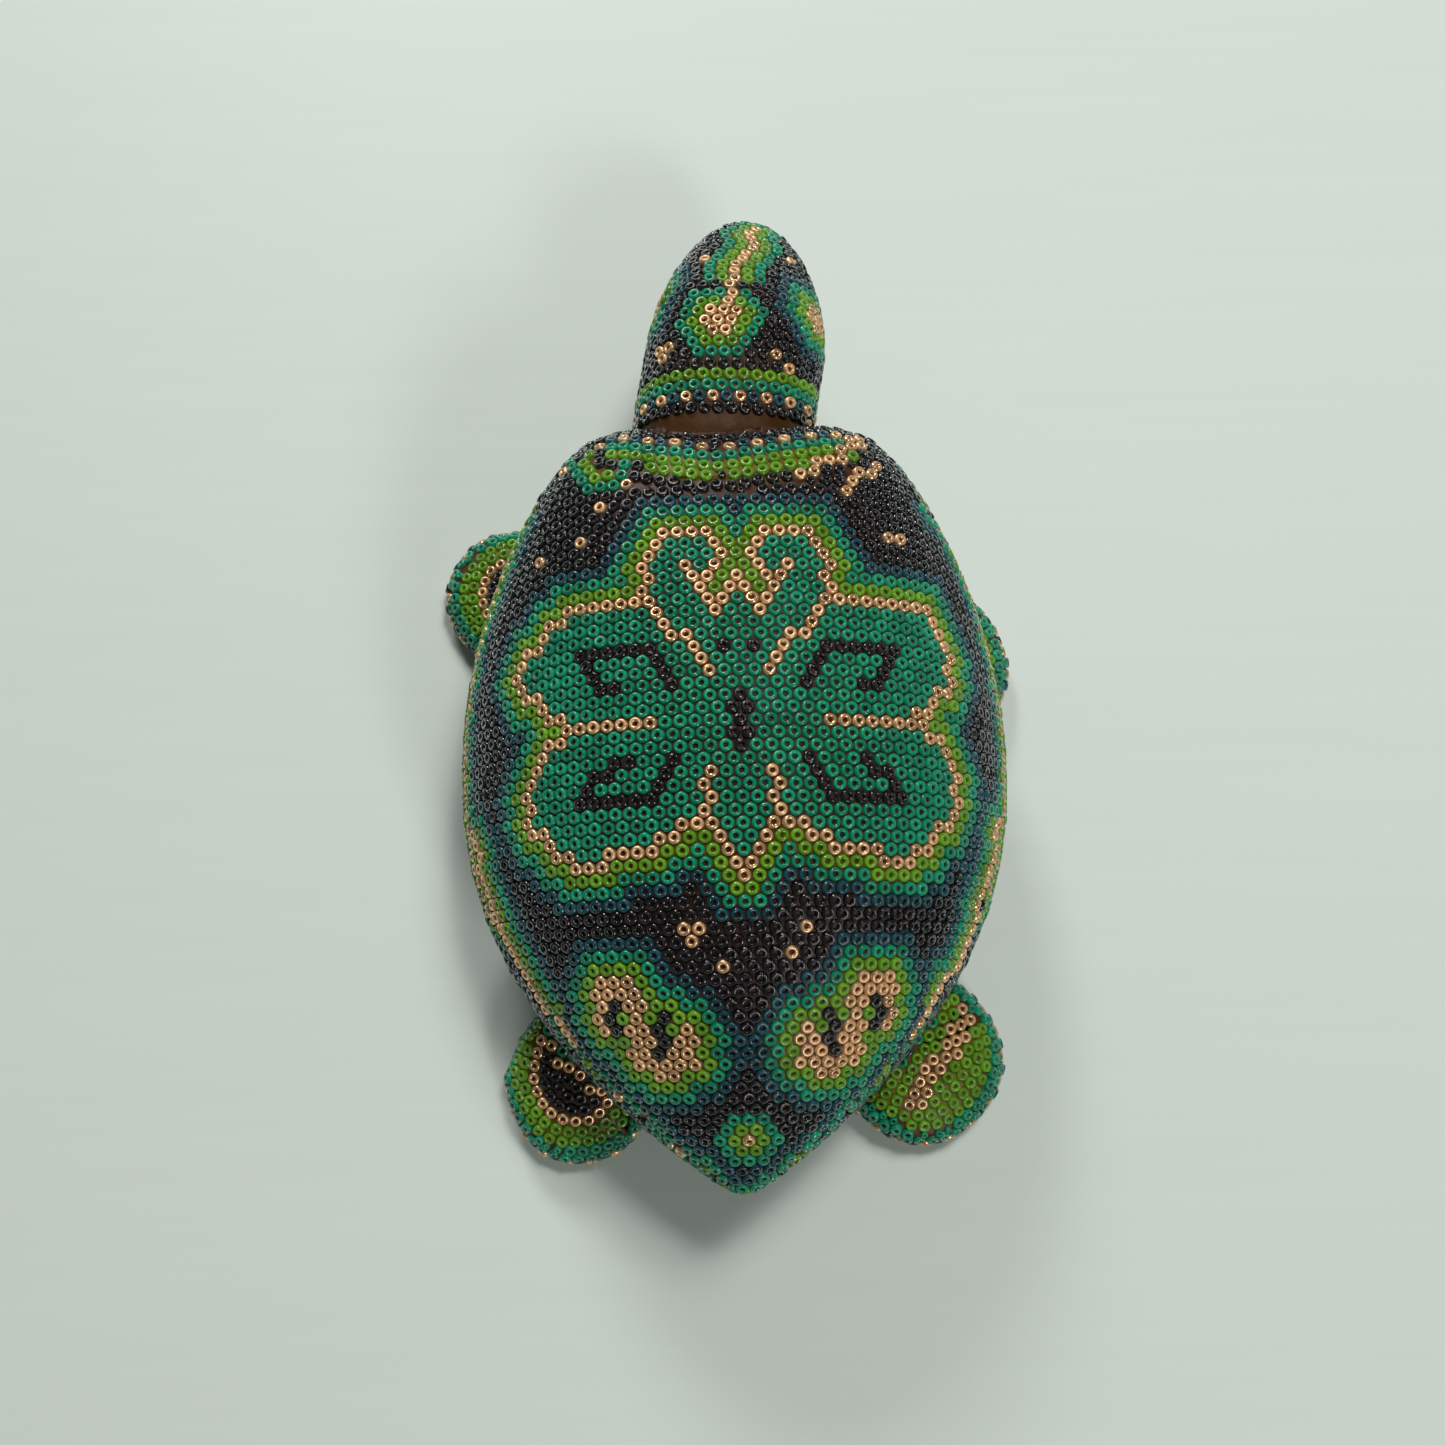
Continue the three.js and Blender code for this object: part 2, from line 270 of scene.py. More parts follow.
def beside(skin, line, step, closed, side):
    """A line on the skin at one step's distance beside another."""
    count = len(line)
    moved = []
    for i, point in enumerate(line):
        before = line[(i - 2) % count] if closed else line[max(i - 2, 0)]
        after = line[(i + 2) % count] if closed else line[min(i + 2, count - 1)]
        normal = skin.nearest(point)[1]
        way = normal.cross(after - before)
        if way.length < 1e-6:
            continue
        moved.append(skin.nearest(point + way.normalized() * step * side)[0])
    even = []
    for i, point in enumerate(moved):
        a = moved[(i - 1) % len(moved)] if closed else moved[max(i - 1, 0)]
        b = moved[(i + 1) % len(moved)] if closed else moved[min(i + 1, len(moved) - 1)]
        even.append(skin.nearest((a + b) * 0.25 + point * 0.5)[0])
    return walk(even, LINE_STEP, closed)


def lay_rows(skin, line, closed, side, part, rows, first_row, size, crowd, keep, stop):
    """Rows of beads beside each other, from a first line on the skin outwards."""
    sites = []
    for k in range(rows):
        phase = 0.5 if k % 2 else 0.0
        for n, point in enumerate(walk(line, size.pitch, closed, phase)):
            place, normal, _ = skin.nearest(point)
            if keep(place, normal) and crowd.gap(place) > size.least:
                crowd.add(place)
                sites.append(Site(place, normal, part, first_row + k, n))
        earlier = line
        line = beside(skin, line, size.row, closed, side)
        if len(line) < 4 or stop(line):
            break
        tree = tree_of(earlier)
        line = [p for p in line if tree.find(p)[2] > size.row * ROW_CLOSEST]
        if len(line) < 4:
            break
    return sites


class Size:
    """The bead sizes in millimetres, from the panel's settings."""

    def __init__(self, settings):
        self.pitch = settings.pitch / MM
        self.row = settings.row / MM
        self.bead = settings.bead_width / MM
        self.height = settings.bead_height / MM
        self.least = self.bead * CLOSEST


# ---- where the beads lie


def collar_sites(skin, size, crowd):
    """Rows that follow the edge of the neck end, from the edge backwards."""
    line = []
    for i in range(-50, 51):
        x, y, last = AXIS + i / 2, COLLAR_START, None
        hit = skin.drop(x, y)
        while hit and hit[1].z > STEEP:
            last = hit[0]
            y += 0.25
            hit = skin.drop(x, y)
        if last is not None:
            line.append(last)
    first = beside(skin, walk(line, LINE_STEP, False), size.row * 0.35, False, -1)
    return lay_rows(skin, first, False, -1, "collar", len(COLLAR), 0, size, crowd,
                    lambda place, normal: normal.z > COLLAR_STEEP, lambda line: False)


def dome_sites(skin, size, crowd):
    """Straight rows across the top of the shell."""
    levels = [FIRST_ROW]
    for way in (1, -1):
        y = FIRST_ROW
        hit = skin.drop(AXIS, y)
        while hit and hit[1].z >= STEEP:
            y += way * size.row * hit[1].z / math.hypot(hit[1].y, hit[1].z)
            levels.append(y)
            hit = skin.drop(AXIS, y)
    sites = []
    for number, level in enumerate(sorted(levels)):
        stagger = size.pitch / 2 * (number % 2)
        for x, way in ((stagger, 1), (stagger - size.pitch, -1)):
            hit = skin.drop(AXIS + x, level)
            while hit and hit[1].z > STEEP:
                place, normal = hit
                if crowd.gap(place) > size.least:
                    crowd.add(place)
                    sites.append(Site(place, normal, "dome", number, x / size.pitch))
                x += way * size.pitch * normal.z / math.hypot(normal.x, normal.z)
                hit = skin.drop(AXIS + x, level)
    return sites


def rim_line(skin):
    """The line round the shell where it grows steep."""
    line = []
    for ray in compass(300):
        reach, last = 20.0, None
        hit = skin.drop(ray.x * reach, ray.y * reach)
        while hit and hit[1].z >= STEEP:
            last = hit[0]
            reach += 0.4
            hit = skin.drop(ray.x * reach, ray.y * reach)
        if last is not None:
            line.append(last)
    return walk(line, LINE_STEP, True)


def rim_sites(skin, size, crowd, clear):
    """Rows round the steep side of the shell, down to the belly."""
    line = beside(skin, rim_line(skin), size.row * 0.85, True, -1)
    return lay_rows(
        skin, line, True, -1, "rim", 34, 0, size, crowd,
        lambda place, normal: normal.z > UNDERSIDE and clear(place),
        lambda line: max(p.z for p in line) < 0.8)


def belly_sites(skin, size, crowd, clear):
    """Straight rows across the flat underside."""
    sites, number, y = [], 0, -60.0
    while y < 60:
        x = -50 + size.pitch / 2 * (number % 2)
        while x < 50:
            hit = skin.cast(Vector((x, y, -20)), Vector((0, 0, 1)))
            if hit and hit[0].z < 0.1 and hit[1].z < -0.9:
                place = hit[0]
                if clear(place) and crowd.gap(place) > size.least:
                    crowd.add(place)
                    sites.append(Site(place, Vector((0, 0, -1)), "belly", number, x))
            x += size.pitch
        number, y = number + 1, y + size.row
    return sites


def head_sites(skin, size, crowd, clear):
    """Rows round the head, from the neck to the snout."""
    across, upward = Vector((1, 0, 0)), Vector((0, 0, 1))
    line, rays = [], 160
    for i in range(rays):
        angle = math.tau * i / rays
        hit = skin.cast(HEAD_START, across * math.cos(angle) + upward * math.sin(angle))
        if hit:
            line.append(hit[0])
    return lay_rows(skin, walk(line, LINE_STEP, True), True, -1, "head", 40, 0, size, crowd,
                    lambda place, normal: clear(place), lambda line: len(line) < 5)


def flipper_sites(skin, name, size, crowd, clear):
    """Rows from a flipper's edge inwards, over its top and under it."""
    low = Vector(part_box(name + "_flipper_beads")[0]) / MM
    high = Vector(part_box(name + "_flipper_beads")[1]) / MM
    middle = (low + high) / 2
    line = []
    for ray in compass(180):
        hit = skin.cast(Vector((middle.x, middle.y, FLIPPER_EDGE)), ray)
        if hit and clear(hit[0]):
            line.append(hit[0])
    gaps = [(line[(i + 1) % len(line)] - line[i]).length for i in range(len(line))]
    widest = gaps.index(max(gaps)) + 1
    line = walk(line[widest:] + line[:widest], LINE_STEP, False)
    keep = lambda place, normal: clear(place)
    stop = lambda line: len(line) < 3
    top = lay_rows(skin, line, False, 1, name, 14, 0, size, crowd, keep, stop)
    under = beside(skin, line, size.row, False, -1)
    bottom = lay_rows(skin, under, False, -1, name, 14, UNDER, size, crowd, keep, stop)
    return top + bottom


def fill_gaps(skin, sites, part, size, crowd, clear, dice):
    """Small beads pressed into the gaps that the rows leave."""
    added = []
    for site in list(sites):
        side = site.normal.orthogonal().normalized()
        other = site.normal.cross(side)
        for i in range(FILL_TRIES):
            angle = math.tau * (i + dice.random()) / FILL_TRIES
            reach = size.pitch * (FILL_REACH + FILL_SPREAD * dice.random())
            ray = side * math.cos(angle) + other * math.sin(angle)
            place, normal, _ = skin.nearest(site.place + ray * reach)
            gap = crowd.gap(place)
            if gap > size.bead * FILL_CLOSEST and clear(place):
                new = Site(place, normal, part, site.row, site.turn)
                new.size = min(1.0, 2 * gap / size.bead - 1)
                crowd.add(place)
                added.append(new)
    return added


def neighbours_of(sites, reach):
    tree = tree_of([s.place for s in sites])
    return tree, [[j for _, j, _ in tree.find_range(s.place, reach) if j != i] for i, s in enumerate(sites)]


def settle(skin, sites, size):
    """Beads that touch push each other apart a little, as they do when they are pressed in."""
    for _ in range(SETTLING_ROUNDS):
        tree, near = neighbours_of(sites, size.bead)
        moved = []
        for i, s in enumerate(sites):
            push = Vector()
            for j in near[i]:
                apart = s.place - sites[j].place
                least = size.bead * 0.5 * (s.size + sites[j].size)
                if 1e-6 < apart.length < least:
                    push += apart.normalized() * (least - apart.length) * 0.5
            moved.append(skin.nearest(s.place + push) if push.length > 0.01 else None)
        for s, m in zip(sites, moved):
            if m:
                s.place, s.normal = m[0], m[1]


# ---- the pattern


def thread(sites, near, tree, points, skin):
    """A single file of beads along a line drawn over a skin."""
    stops = []
    for x, y in points:
        hit = skin.drop(x, y)
        if hit:
            stops.append(tree.find(hit[0])[1])
    file = stops[:1]
    for start, goal in zip(stops, stops[1:]):
        a, b = sites[start].place, sites[goal].place
        along = b - a
        length = max(along.length, 1e-6)
        best, came, queue = {start: 0.0}, {}, [(0.0, start)]
        while queue:
            cost, i = heapq.heappop(queue)
            if i == goal:
                break
            if cost > best[i]:
                continue
            for j in near[i]:
                off = (sites[j].place - a).cross(along).length / length
                new = cost + (sites[j].place - sites[i].place).length * (1 + off * off / 4)
                if new < best.get(j, 1e9):
                    best[j], came[j] = new, i
                    heapq.heappush(queue, (new, j))
        path, i = [], goal
        while i != start and i in came:
            path.append(i)
            i = came[i]
        file += reversed(path)
    return file


def grow(near, taken, free):
    """The beads round a group, with the hollows of its outline filled."""
    ring = {j for i in taken for j in near[i] if j in free and j not in taken}
    inside = taken | ring
    ring |= {i for i in free if i not in inside and sum(j in inside for j in near[i]) >= HOLLOW}
    return ring


def inside_of(outline, x, y):
    """Whether a point lies inside a closed outline: it does if a line from it crosses the outline oddly."""
    odd = False
    for (x1, y1), (x2, y2) in zip(outline, outline[1:] + outline[:1]):
        if (y1 > y) != (y2 > y) and x < (x2 - x1) * (y - y1) / (y2 - y1) + x1:
            odd = not odd
    return odd


# Half of each motif, in millimetres right of the pattern's axis and forward.
CROWN = [(0, 23), (3.4, 17.5), (5.7, 21.2)]
STRAND = CROWN + [(8.4, 25)]
UPPER_LOBE = [(5.7, 21.2), (3.2, 26.5), (5, 30.5), (11.8, 30.5), (15, 25.3), (12.4, 19.6)]
SIDE_LOBE = [(12.4, 19.6), (25.5, 19.6), (29, 18.2), (33, 12.6), (32.5, 8.8), (29, 3.6), (25.4, 1)]
LOWER_LOBE = [(25.4, 1), (29.5, -2), (32, -7.4), (31.8, -12), (28.6, -17), (25, -19), (14.4, -18.4),
              (10, -15.5), (6.2, -12.4)]
POINT = [(6.2, -12.4), (0, -22.8)]
VEINS = [[(12.4, 19.6), (4.7, 8.3)], [(25.4, 1), (13.4, 0.6)], [(6.2, -12.4), (4.8, -7.1)]]
WINGS = [[(17.5, 6.7), (19.7, 6.7), (23.6, 12.4), (14, 12.4), (10.4, 6.4)],
         [(17.4, -4.7), (19.1, -4.7), (23.3, -10.9), (14, -10.7), (10.6, -5)]]
SCROLL = [(21.2, -42.4), (21.2, -37.8), (19, -36.6), (16.4, -38), (15.7, -42), (15.5, -46), (14.2, -48.2),
          (11.4, -48.8), (9.3, -47.6), (9.1, -43.8)]
SCROLL_BREADTH = 0.84  # pitches from the scroll's line to the farthest gold beads
SCROLL_MOUTHS = [[(18.6, -44.4), (18.6, -47)], [(12.5, -39.8), (12.4, -38)]]
SCROLL_HEARTS = [[(18.7, -39.6), (18.6, -43)], [(12.5, -41.2), (12.6, -46)]]

# Whole motifs, in the same measures.
CENTRE = [(0, 4.3), (0, 0.6), (0, -3.1), (1.1, 2.45), (-1.1, 2.45), (1.1, -1.25), (-1.1, -1.25),
          (2.4, 11.6), (-2.4, 11.6)]
TAIL_FLOWER = (0.6, -59.6)
TAIL_TIP_START = -62.8
FIELD_SPARKS = [(-8.8, -28.4), (-7.2, -29.6), (-8, -31.4), (-3.8, -34.6), (6.4, -32), (8.8, -28.2)]
SHOULDER_SPARKS = [(-17.1, 39.4), (-20.6, 36.8), (-24.4, 29.4), (-31, 28.3), (-27.5, 44), (23.5, 29.4),
                   (25.7, 29.1)]
SHOULDER_CUP = [(-25.8, 46), (-25.4, 43.2), (-23.8, 40.4), (-21.6, 39.2), (-20, 39.6), (-18.2, 40.7),
                (-18, 43)]
SHOULDER_FILL = [(-23.6, 45.8), (-23, 42.8), (-21.4, 41.4), (-19.8, 42)]
SHOULDER_HEART = [(-21, 46), (-20.9, 43.6)]
SHOULDER_LINES = [(SHOULDER_CUP, "emerald"), (SHOULDER_FILL, "lime"), (SHOULDER_HEART, "black"),
                  ([(10.6, 41), (14.8, 43.6), (19.4, 48.8)], "gold"),
                  ([(17.2, 38.4), (22.2, 43.4)], "gold")]

# Motifs of the head and of the right rear flipper, in millimetres right of the middle and forward.
EYES = (Vector((14.3, 71.5, 33)), Vector((-12.6, 75.5, 30)))
STAR, STAR_REACH = (-0.6, 69.4), 1.45  # its middle, and the pitches from there to its farthest beads
NOSE_LINE = [(0.4, 72.6), (2.6, 80), (4.6, 87.5), (6, 93)]
NOSE_START = 76.5
HEAD_SPARKS = [(-11.4, 65.6), (-10, 64.2), (-9.4, 66), (8.7, 62.4), (10.8, 62), (11.6, 84), (-3.6, 82.6)]
RIBBON = (Vector((38.8, -41, 9)), Vector((28, -56.5, 9)))  # a double file of gold
RIBBON_HALF_WIDTH = 1.9

# Colours of rows, from the first one on.
COLLAR = "black black pairs emerald lime lime black".split()
NECK = "black pairs emerald lime".split()
RIM = ("lime gold lime emerald petrol black black petrol emerald "
       "lime pairs emerald black petrol emerald lime pairs black").split()
SHOULDER_RIM = ("black black petrol emerald lime emerald petrol black black "
                "petrol emerald lime emerald petrol black black pairs black").split()
SHOULDER_RIM_START = 41
FLIPPER_TOP = "pairs emerald emerald lime lime gold".split()
FLIPPER_BOTTOM = "emerald lime emerald petrol".split()
BELLY = "emerald emerald lime gold lime emerald petrol black petrol".split()
HALO = ("lime", "emerald", "petrol")  # round the flower, the scrolls and the eyes


def mirrored(points):
    return [(-x, y) for x, y in points]


def shift(points):
    return [(x + AXIS, y) for x, y in points]


def both_sides(lines):
    """Lines of the right half's motifs and their mirror images, placed on the shell."""
    return [shift(flip(line)) for flip in (list, mirrored) for line in lines]


def paint(sites, group, colour):
    for i in group:
        sites[i].paint(colour)


def colour_shell(sites, size):
    """The flower, its coloured outlines, the scrolls, the collar and the bands round the rim."""
    tree, near = neighbours_of(sites, size.pitch * TOUCH)
    body = workshop["body"]
    dome = {i for i, s in enumerate(sites) if s.normal.z > 0.05 and s.place.z > 16}
    rim = {i for i, s in enumerate(sites) if s.part == "rim"}
    outlines = {}  # the colours of the beads in the outlines of motifs

    def beads_along(lines):
        return {i for line in lines for i in thread(sites, near, tree, line, body)}

    def outline(seed, colours, free):
        grown = set(seed)
        for colour in colours:
            ring = grow(near, grown, free - grown)
            for i in ring:
                outlines.setdefault(i, colour)
            grown |= ring
        return grown

    # the flower
    gold = beads_along(both_sides([STRAND, UPPER_LOBE, SIDE_LOBE, LOWER_LOBE, POINT, *VEINS]))
    black = beads_along(both_sides(WINGS)) | beads_along([shift([spot]) for spot in CENTRE])
    half = CROWN + UPPER_LOBE[1:] + SIDE_LOBE[1:] + LOWER_LOBE[1:] + POINT[1:]
    shape = shift(half) + shift(mirrored(half[1:-1]))[::-1]
    petals = {i for i in dome if inside_of(shape, sites[i].place.x, sites[i].place.y)} - gold
    paint(sites, petals, "emerald")
    flower = petals | gold

    # the scrolls
    hearts = beads_along(both_sides(SCROLL_HEARTS))
    mouths = beads_along(both_sides(SCROLL_MOUTHS))
    gold_scrolls = set()
    for points in both_sides([SCROLL]):
        for (x1, y1), (x2, y2) in zip(points, points[1:]):
            for t in range(8):
                hit = body.drop(x1 + (x2 - x1) * t / 8, y1 + (y2 - y1) * t / 8)
                if hit:
                    gold_scrolls |= {j for _, j, _ in tree.find_range(hit[0], size.pitch * SCROLL_BREADTH)}
    gold_scrolls -= hearts | mouths

    # the outlines
    tail_middle = tree.find(body.drop(AXIS + TAIL_FLOWER[0], TAIL_FLOWER[1])[0])[1]
    free = dome - flower - gold_scrolls - hearts
    motifs = outline(flower, HALO, free)
    free -= motifs
    motifs = motifs | outline(gold_scrolls | hearts, HALO, free) | outline({tail_middle}, HALO[:2], free)
    for i, colour in outlines.items():
        if i not in flower:
            sites[i].colour = colour

    # the bands beside the rim and round it
    bands = set(rim)
    for colour in ("gold", "lime", "emerald", "petrol"):
        low, high = (-46, -12) if colour in ("gold", "lime") else (-FAR, 38)
        edge = grow(near, bands, dome - bands - motifs)
        edge = {i for i in edge if low < sites[i].place.y < high}
        paint(sites, edge, colour)
        bands |= edge
    for i in rim - motifs:
        s = sites[i]
        colours = SHOULDER_RIM if s.place.y > SHOULDER_RIM_START else RIM
        s.paint(colours[min(s.row, len(colours) - 1)])
        if s.place.y < TAIL_TIP_START and s.normal.z > 0:
            s.colour = "emerald" if int(s.turn) % 3 else "lime"

    # the collar and the shoulders
    for s in sites:
        if s.part == "collar":
            s.paint(COLLAR[s.row])
            if abs(s.place.x - AXIS) > 14 and s.row > 4:
                s.colour = "black"
    for line, colour in SHOULDER_LINES:
        paint(sites, beads_along([shift(line)]), colour)
    for x, y in shift(FIELD_SPARKS + SHOULDER_SPARKS):
        hit = body.drop(x, y)
        if hit:
            sites[tree.find(hit[0])[1]].colour = "gold"

    paint(sites, gold, "gold")
    paint(sites, black, "black")
    paint(sites, gold_scrolls, "gold")
    paint(sites, hearts, "black")
    paint(sites, {tail_middle}, "gold")


def colour_head(sites, size):
    """Bands at the neck, a star with a line to the snout, and ringed eyes."""
    tree, near = neighbours_of(sites, size.pitch * TOUCH)
    everything = set(range(len(sites)))
    for s in sites:
        s.paint(NECK[s.row] if s.row < len(NECK) else "black")
    fixed = {i for i in everything if sites[i].row < len(NECK)}
    skin = workshop["head"]

    def colour_in(group, colour):
        paint(sites, group - fixed, colour)

    for eye in EYES:
        middle = tree.find(skin.nearest(eye)[0])[1]
        grown = {middle} | set(near[middle])
        colour_in(grown, "gold")
        for colour in HALO:
            ring = grow(near, grown, everything - grown)
            colour_in(ring, colour)
            grown |= ring
    star = {j for _, j, _ in tree.find_range(skin.drop(*STAR)[0], size.pitch * STAR_REACH)}
    petals = grow(near, star, everything - star)
    cup = grow(near, star | petals, everything - star - petals)
    colour_in(cup, "emerald")
    colour_in(petals, "lime")
    line = set(thread(sites, near, tree, NOSE_LINE, skin))
    nose = {i for i in line if sites[i].place.y > NOSE_START}
    beside_nose = grow(near, nose, everything - nose)
    edge = grow(near, nose | beside_nose, everything - nose - beside_nose)
    ahead = {i for i in everything if sites[i].place.y > NOSE_START + 0.5}
    colour_in({i for i in edge & ahead if sites[i].normal.z > 0.1}, "emerald")
    colour_in(beside_nose & ahead, "lime")
    colour_in(line | star, "gold")
    for x, y in HEAD_SPARKS:
        colour_in({tree.find(skin.drop(x, y)[0])[1]}, "gold")


def colour_flipper(sites, name):
    """Bands that follow a flipper's edge, round a field in its middle, and others along the body."""
    body = workshop["body"]
    field = "lime" if name.endswith("right") else "black"
    ribbon = RIBBON[1] - RIBBON[0]
    for s in sites:
        top = s.row < UNDER
        rows = FLIPPER_TOP if top else FLIPPER_BOTTOM
        number = s.row if top else s.row - UNDER
        colour = rows[number] if number < len(rows) else field if top else "black"
        if name == "rear_right" and top and number > 2:
            start = s.place - RIBBON[0]
            along = start.dot(ribbon) / ribbon.length_squared
            off = abs(start.cross(ribbon).z) / ribbon.length
            if number == 5:
                colour = "lime"
            if 0 < along < 1 and off < RIBBON_HALF_WIDTH:
                colour = "gold"
        if top and number > 1:
            away = body.covers(s.place)
            if away < 2.6:
                colour = "black"
            elif away < 4.5:
                colour = "pairs"
            elif away < 6.3:
                colour = "petrol" if int(s.turn) % 2 else "emerald"
            elif away < 8.0 and name.endswith("left") and number > 4:
                colour = "gold"
        s.paint(colour)


def colour_belly(sites):
    """Plain nested ovals."""
    for s in sites:
        reach = math.hypot((s.place.x - AXIS) / 32, (s.place.y + 2) / 40)
        s.colour = BELLY[int(reach * 14) % len(BELLY)]


# ---- finishes


def shader_of(name, **settings):
    material = bpy.data.materials.new(name)
    material.use_nodes = True
    shader = material.node_tree.nodes["Principled BSDF"]
    for key, value in settings.items():
        shader.inputs[key.replace("_", " ")].default_value = value
    return material, material.node_tree, shader


def attribute(tree, name):
    node = tree.nodes.new("ShaderNodeAttribute")
    node.attribute_name = name
    return node.outputs["Fac"]


def noise(tree, vector, scale, detail):
    node = tree.nodes.new("ShaderNodeTexNoise")
    node.inputs["Scale"].default_value = scale
    node.inputs["Detail"].default_value = detail
    tree.links.new(vector, node.inputs["Vector"])
    return node.outputs["Fac"]


def stretched(tree, vector, scale):
    node = tree.nodes.new("ShaderNodeMapping")
    node.inputs["Scale"].default_value = scale
    tree.links.new(vector, node.inputs["Vector"])
    return node.outputs["Vector"]


def mix(tree, factor, low, high, blend="MIX"):
    """Mixes two colours, each a tuple or a socket, by a number or a socket."""
    node = tree.nodes.new("ShaderNodeMix")
    node.data_type = "RGBA"
    node.blend_type = blend
    # a mix node has its factor at 0 and its two colours at 6 and 7, and gives the mixed colour at 2
    for place, value in ((0, factor), (6, low), (7, high)):
        if isinstance(value, bpy.types.NodeSocket):
            tree.links.new(value, node.inputs[place])
        else:
            node.inputs[place].default_value = value if place == 0 else (*value, 1)
    return node.outputs[2]


def bead_finish(name, dark, light, hole, **settings):
    """Beads of one colour: each has its own tint, and the wall of its hole a darker colour, as painted
    shade in the hole; for gold it is reddish copper and painted shade.
    """
    material, tree, shader = shader_of(name, **settings)
    tint = attribute(tree, "tint")
    glass = mix(tree, tint, dark, light)
    # the wall of the hole gets the hole colour: painted shade in the hole
    tree.links.new(mix(tree, attribute(tree, "hole_shade_mask"), glass, hole), shader.inputs["Base Color"])
    rough = tree.nodes.new("ShaderNodeMapRange")
    rough.inputs["To Min"].default_value = settings["Roughness"] * 0.7
    rough.inputs["To Max"].default_value = settings["Roughness"] * 1.5
    tree.links.new(tint, rough.inputs["Value"])
    tree.links.new(rough.outputs["Result"], shader.inputs["Roughness"])
    return material


def wax_finish():
    """Beeswax and resin: honey where lime beads lie on it, dark brown elsewhere; the dark brown is partly
    the wax's colour and partly painted shade in the bead holes.
    """
    material, tree, shader = shader_of("wax", Roughness=0.42, Specular_IOR_Level=0.25)
    place = tree.nodes.new("ShaderNodeTexCoord").outputs["Object"]
    clouds = noise(tree, place, 420, 4)
    # the dark brown is partly the wax's colour and partly painted shade, so that the wax in the bead holes
    # looks dark
    tone = mix(tree, attribute(tree, "honey"), (0.07, 0.023, 0.009), (0.2, 0.12, 0.008))
    tree.links.new(mix(tree, 0.6, tone, clouds, "MULTIPLY"), shader.inputs["Base Color"])
    bump = tree.nodes.new("ShaderNodeBump")
    bump.inputs["Strength"].default_value = 0.35
    bump.inputs["Distance"].default_value = 0.3 * MM
    tree.links.new(clouds, bump.inputs["Height"])
    tree.links.new(bump.outputs["Normal"], shader.inputs["Normal"])
    return material


def wood_finish():
    """Light carved wood with a fine grain along the turtle."""
    material, tree, shader = shader_of("wood", Roughness=0.7)
    place = tree.nodes.new("ShaderNodeTexCoord").outputs["Object"]
    grain = noise(tree, stretched(tree, place, (260, 30, 260)), 1, 6)
    tone = tree.nodes.new("ShaderNodeValToRGB")
    tone.color_ramp.elements[0].color = (0.13, 0.05, 0.02, 1)
    tone.color_ramp.elements[1].color = (0.38, 0.19, 0.08, 1)
    tree.links.new(grain, tone.inputs["Fac"])
    tree.links.new(tone.outputs["Color"], shader.inputs["Base Color"])
    return material


def floor_finish(colour):
    """Pale paint with faint brush marks."""
    material, tree, shader = shader_of("floor_paint", Roughness=0.55)
    place = tree.nodes.new("ShaderNodeTexCoord").outputs["Object"]
    marks = noise(tree, stretched(tree, place, (3, 60, 1)), 4, 5)
    paint = mix(tree, marks, [c * 0.975 for c in colour], [c * 1.02 for c in colour])
    tree.links.new(paint, shader.inputs["Base Color"])
    return material


# ---- making pieces


def deselect():
    if bpy.context.object and bpy.context.object.mode != "OBJECT":
        bpy.ops.object.mode_set(mode="OBJECT")
    bpy.ops.object.select_all(action="DESELECT")


@contextmanager
def edit_mode():
    bpy.ops.object.mode_set(mode="EDIT")
    yield
    bpy.ops.object.mode_set(mode="OBJECT")


def hand_over(piece, node):
    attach(piece, "root")
    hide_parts(node)


def make_piece(name, points, faces, attributes, material):
    """A smooth mesh object from points, faces and named values of the points."""
    mesh = bpy.data.meshes.new(name)
    mesh.vertices.add(len(points))
    mesh.vertices.foreach_set("co", np.asarray(points, np.float32).ravel())
    corners = faces.shape[1]
    mesh.loops.add(faces.size)
    mesh.loops.foreach_set("vertex_index", faces.ravel().astype(np.int32))
    mesh.polygons.add(len(faces))
    mesh.polygons.foreach_set("loop_start", np.arange(0, faces.size, corners, dtype=np.int32))
    mesh.polygons.foreach_set("use_smooth", np.ones(len(faces), bool))
    mesh.update(calc_edges=True)
    for key, values in attributes.items():
        mesh.attributes.new(key, "FLOAT", "POINT").data.foreach_set("value", values.astype(np.float32))
    mesh.validate()
    piece = bpy.data.objects.new(name, mesh)
    bpy.context.scene.collection.objects.link(piece)
    mesh.materials.append(material)
    return piece


def string_of(sites, size, dice):
    """One mesh of all the beads at these sites, with each bead's tint and the wall of its hole marked, for
    the painted shade in the hole.
    """
    shape, faces, hole_shade_mask = workshop["bead"]
    count = len(shape)
    points = np.empty((len(sites) * count, 3))
    tints = np.empty(len(sites) * count)
    for n, s in enumerate(sites):
        lean = Vector((dice.gauss(0, TILT), dice.gauss(0, TILT), dice.gauss(0, TILT)))
        up = (s.normal + lean).normalized()
        side = up.orthogonal().normalized()
        other = up.cross(side)
        turn = dice.random() * math.tau
        across = side * math.cos(turn) + other * math.sin(turn)
        width = s.size * (WIDTH + WIDTH_SPREAD * (dice.random() - 0.5))
        tall = (0.55 + 0.45 * s.size) * (1 + HEIGHT_SPREAD * (dice.random() - 0.5))
        middle = s.place - s.normal * (size.height * 0.5 * tall + abs(dice.gauss(0, SINK)))
        hang = size.bead * 0.5 * width * math.hypot(up.x, up.y) + size.height * 0.5 * tall * abs(up.z)
        middle.z = max(middle.z, hang)  # none reaches through the floor
        axes = np.array([across * width, up.cross(across) * width, up * tall])
        points[n * count:(n + 1) * count] = shape @ axes + np.array(middle)
        tints[n * count:(n + 1) * count] = dice.random()
    offsets = (np.arange(len(sites)) * count)[:, None, None]
    return points * MM, (faces[None] + offsets).reshape(-1, faces.shape[1]), {
        "tint": tints, "hole_shade_mask": np.tile(hole_shade_mask, len(sites))}


